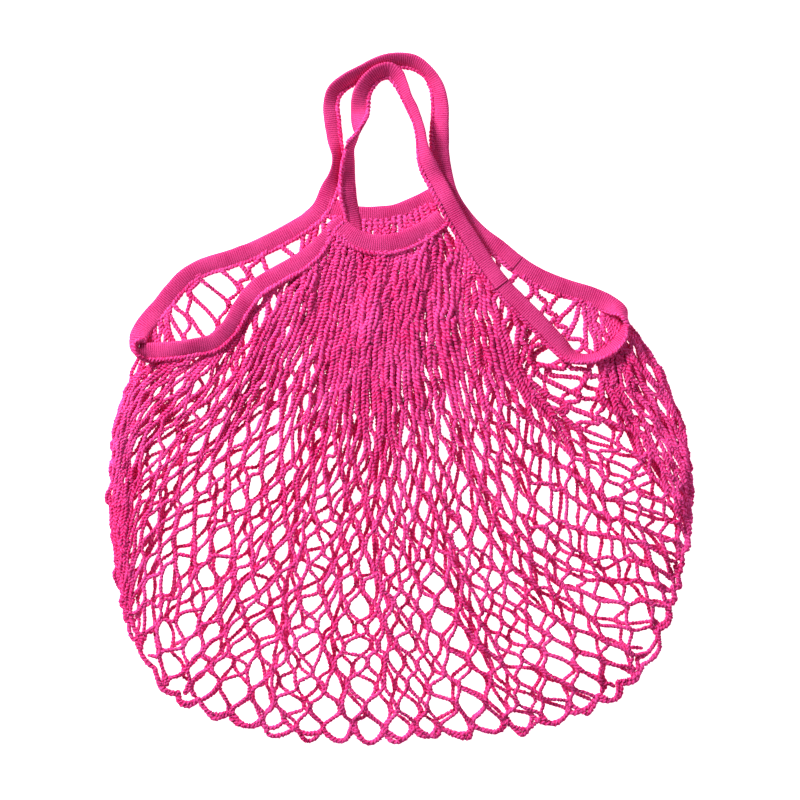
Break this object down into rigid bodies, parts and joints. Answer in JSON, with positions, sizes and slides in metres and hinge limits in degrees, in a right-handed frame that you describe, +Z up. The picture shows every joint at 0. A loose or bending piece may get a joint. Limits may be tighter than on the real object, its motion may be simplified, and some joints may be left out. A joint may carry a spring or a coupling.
{
  "type": "net bag",
  "caption": "Cotton net shopping bag lying flat, with a knitted tape round its mouth and two short twisted tape handles.",
  "frame": {"origin": "centre of the laid-out bag's box, on the surface it lies on", "axes": "+Y from the bag's bottom towards its handles, +Z up through the front layer, +X to the right as seen from above"},
  "size_m": [0.4419, 0.5231, 0.0172],
  "materials": {
    "net_cord": "matt cotton cord",
    "tape": "matt knitted cotton tape"
  },
  "bodies": {
    "root": {"net": "net_cord", "mouth_band_front": "tape", "mouth_band_back": "tape", "side_band_left": "tape", "side_band_right": "tape", "handle_front": "tape", "handle_back": "tape"}
  },
  "joints": []
}
